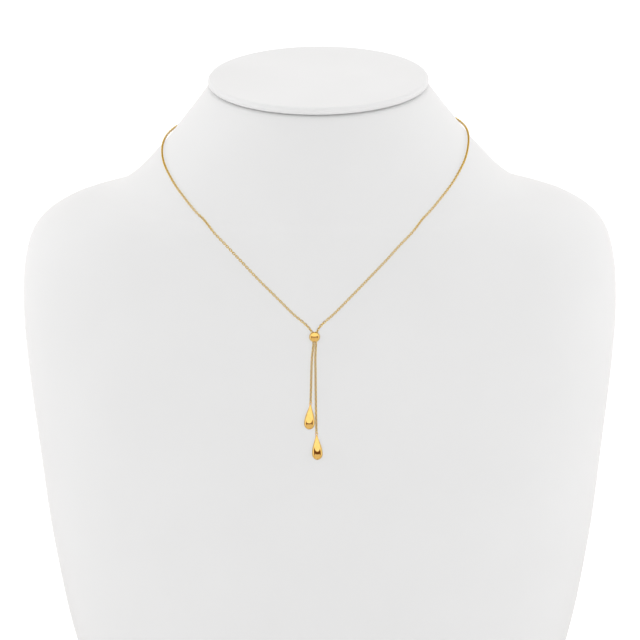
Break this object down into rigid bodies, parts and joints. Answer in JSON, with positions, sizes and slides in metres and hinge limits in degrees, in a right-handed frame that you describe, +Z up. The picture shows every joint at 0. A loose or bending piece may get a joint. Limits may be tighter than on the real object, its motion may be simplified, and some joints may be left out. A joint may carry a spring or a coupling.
{
  "type": "lariat necklace on neck bust",
  "caption": "Fine gold cable-chain lariat with a sliding ball and teardrop ends, lying on a plain white neck-and-shoulders display bust.",
  "frame": {"origin": "middle of the bust's flat base, under the middle of the whole box", "axes": "+Z up along the neck, -Y is the front with the chest and the drops, +X to the right as seen from the front"},
  "size_m": [0.25, 0.1253, 0.2929],
  "materials": {
    "bust_skin": "smooth matte white leatherette",
    "cap_skin": "smooth matte white leatherette",
    "chain_gold": "polished yellow gold",
    "polished_gold": "mirror polished yellow gold"
  },
  "bodies": {
    "root": {"neck_bust": "bust_skin", "bust_cap": "cap_skin", "neck_chain_left": "chain_gold", "neck_chain_right": "chain_gold", "slide_ball": "polished_gold", "drop_chain_short": "chain_gold", "drop_chain_long": "chain_gold", "teardrop_short": "polished_gold", "teardrop_long": "polished_gold", "clasp": "polished_gold"}
  },
  "joints": []
}
